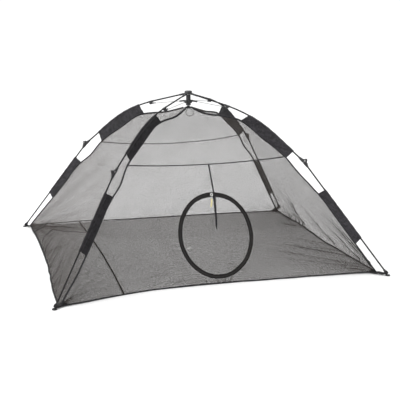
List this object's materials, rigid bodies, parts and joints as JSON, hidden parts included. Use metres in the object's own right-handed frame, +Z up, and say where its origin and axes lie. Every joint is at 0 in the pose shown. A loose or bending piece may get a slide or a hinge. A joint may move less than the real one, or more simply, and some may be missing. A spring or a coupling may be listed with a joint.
{
  "type": "pet tent",
  "caption": "Pop-up mesh tent for a pet, hung under a folding umbrella frame with knee joints, with a round zipped port in the front wall.",
  "frame": {"origin": "centre of the footprint of the feet, on the ground", "axes": "+Z up, +X along the long side, -Y towards the port in the front wall"},
  "size_m": [1.8726, 1.651, 0.974],
  "materials": {
    "charcoal": "satin",
    "rod": "satin",
    "strut": "satin",
    "steel": "satin",
    "sleeve": "matte",
    "mesh": "matte",
    "webbing": "matte",
    "cord": "matte",
    "zip": "satin"
  },
  "bodies": {
    "cabin": {"hub_cap": "charcoal", "hub_wire": "steel", "hub_tube": "charcoal", "front_wall": "mesh", "rear_wall": "mesh", "left_wall": "mesh", "right_wall": "mesh", "floor": "mesh", "pull_cord": "cord", "cord_stop": "charcoal"},
    "runner": {"runner": "charcoal"},
    "strut_A": {"strut_A": "strut"},
    "upper_pole_A": {"upper_rod_A": "rod", "hub_eye_A": "charcoal", "strut_bracket_A": "charcoal", "elbow_upper_A": "charcoal", "upper_sleeve_A": "sleeve"},
    "lower_pole_A": {"lower_rod_A": "rod", "elbow_lower_A": "charcoal", "elbow_pin_A": "steel", "foot_A": "charcoal", "lower_sleeve_A": "sleeve"},
    "strut_B": {"strut_B": "strut"},
    "upper_pole_B": {"upper_rod_B": "rod", "hub_eye_B": "charcoal", "strut_bracket_B": "charcoal", "elbow_upper_B": "charcoal", "upper_sleeve_B": "sleeve"},
    "lower_pole_B": {"lower_rod_B": "rod", "elbow_lower_B": "charcoal", "elbow_pin_B": "steel", "foot_B": "charcoal", "lower_sleeve_B": "sleeve"},
    "strut_C": {"strut_C": "strut"},
    "upper_pole_C": {"upper_rod_C": "rod", "hub_eye_C": "charcoal", "strut_bracket_C": "charcoal", "elbow_upper_C": "charcoal", "upper_sleeve_C": "sleeve"},
    "lower_pole_C": {"lower_rod_C": "rod", "elbow_lower_C": "charcoal", "elbow_pin_C": "steel", "foot_C": "charcoal", "lower_sleeve_C": "sleeve"},
    "strut_D": {"strut_D": "strut"},
    "upper_pole_D": {"upper_rod_D": "rod", "hub_eye_D": "charcoal", "strut_bracket_D": "charcoal", "elbow_upper_D": "charcoal", "upper_sleeve_D": "sleeve"},
    "lower_pole_D": {"lower_rod_D": "rod", "elbow_lower_D": "charcoal", "elbow_pin_D": "steel", "foot_D": "charcoal", "lower_sleeve_D": "sleeve"},
    "port": {"port_ring": "webbing"},
    "port_flap": {"port_flap": "mesh", "tie_strap": "webbing"},
    "zip_slider": {"zip_slider": "zip"}
  },
  "joints": [
    {"name": "frame_fold", "type": "hinge", "parent": "cabin", "child": "upper_pole_A", "pos_m": [-0.01802, 0.01586, 0.9545], "axis": [-0.6606, -0.7507, 0], "range_deg": [0, 62], "deforming": ["front_wall", "rear_wall", "left_wall", "right_wall", "floor"]},
    {"name": "knee_A", "type": "hinge", "parent": "upper_pole_A", "child": "lower_pole_A", "pos_m": [-0.5496, 0.48365, 0.61316], "axis": [0.6606, 0.7507, 0], "range_deg": [0, 191.1]},
    {"name": "frame_fold_B", "type": "hinge", "parent": "cabin", "child": "upper_pole_B", "pos_m": [-0.01802, -0.01586, 0.9545], "axis": [0.6606, -0.7507, 0], "range_deg": [0, 62]},
    {"name": "knee_B", "type": "hinge", "parent": "upper_pole_B", "child": "lower_pole_B", "pos_m": [-0.5496, -0.48365, 0.61316], "axis": [-0.6606, 0.7507, 0], "range_deg": [0, 191.1]},
    {"name": "frame_fold_C", "type": "hinge", "parent": "cabin", "child": "upper_pole_C", "pos_m": [0.01802, -0.01586, 0.9545], "axis": [0.6606, 0.7507, 0], "range_deg": [0, 62]},
    {"name": "knee_C", "type": "hinge", "parent": "upper_pole_C", "child": "lower_pole_C", "pos_m": [0.5496, -0.48365, 0.61316], "axis": [-0.6606, -0.7507, 0], "range_deg": [0, 191.1]},
    {"name": "frame_fold_D", "type": "hinge", "parent": "cabin", "child": "upper_pole_D", "pos_m": [0.01802, 0.01586, 0.9545], "axis": [-0.6606, 0.7507, 0], "range_deg": [0, 62]},
    {"name": "knee_D", "type": "hinge", "parent": "upper_pole_D", "child": "lower_pole_D", "pos_m": [0.5496, 0.48365, 0.61316], "axis": [0.6606, -0.7507, 0], "range_deg": [0, 191.1]},
    {"name": "runner_slide", "type": "slide", "parent": "cabin", "child": "runner", "axis": [0, 0, 1], "range_m": [0, 0.0301]},
    {"name": "strut_turn_A", "type": "hinge", "parent": "runner", "child": "strut_A", "pos_m": [-0.02171, 0.00712, 0.914], "axis": [-0.6606, -0.7507, 0], "range_deg": [0, 70.78]},
    {"name": "strut_turn_B", "type": "hinge", "parent": "runner", "child": "strut_B", "pos_m": [-0.00982, -0.02063, 0.914], "axis": [0.6606, -0.7507, 0], "range_deg": [0, 70.78]},
    {"name": "strut_turn_C", "type": "hinge", "parent": "runner", "child": "strut_C", "pos_m": [0.02171, -0.00712, 0.914], "axis": [0.6606, 0.7507, 0], "range_deg": [0, 70.78]},
    {"name": "strut_turn_D", "type": "hinge", "parent": "runner", "child": "strut_D", "pos_m": [0.00982, 0.02063, 0.914], "axis": [-0.6606, 0.7507, 0], "range_deg": [0, 70.78]},
    {"name": "port_swing", "type": "hinge", "parent": "cabin", "child": "port", "pos_m": [0, -0.358, 1.21], "axis": [1, 0, 0], "range_deg": [0, 24.7]},
    {"name": "port_flap_hinge", "type": "hinge", "parent": "port", "child": "port_flap", "pos_m": [-0.0043, -0.48442, 0.42704], "axis": [-1, 0, 0], "range_deg": [0, 140]},
    {"name": "zip_slide", "type": "hinge", "parent": "port", "child": "zip_slider", "pos_m": [-0.0043, -0.54609, 0.29237], "axis": [0, -0.9092, 0.4164], "range_deg": [0, 60]}
  ],
  "couplings": [
    {"joint": "knee_A", "follows": "frame_fold", "ratio": 3.0806},
    {"joint": "frame_fold_B", "follows": "frame_fold", "ratio": 1},
    {"joint": "knee_B", "follows": "frame_fold", "ratio": 3.0806},
    {"joint": "frame_fold_C", "follows": "frame_fold", "ratio": 1},
    {"joint": "knee_C", "follows": "frame_fold", "ratio": 3.0806},
    {"joint": "frame_fold_D", "follows": "frame_fold", "ratio": 1},
    {"joint": "knee_D", "follows": "frame_fold", "ratio": 3.0806},
    {"joint": "runner_slide", "follows": "frame_fold", "m_per_rad": 0.027724},
    {"joint": "strut_turn_A", "follows": "frame_fold", "ratio": 1.14},
    {"joint": "strut_turn_B", "follows": "frame_fold", "ratio": 1.14},
    {"joint": "strut_turn_C", "follows": "frame_fold", "ratio": 1.14},
    {"joint": "strut_turn_D", "follows": "frame_fold", "ratio": 1.14},
    {"joint": "port_swing", "follows": "frame_fold", "ratio": 0.39677}
  ]
}
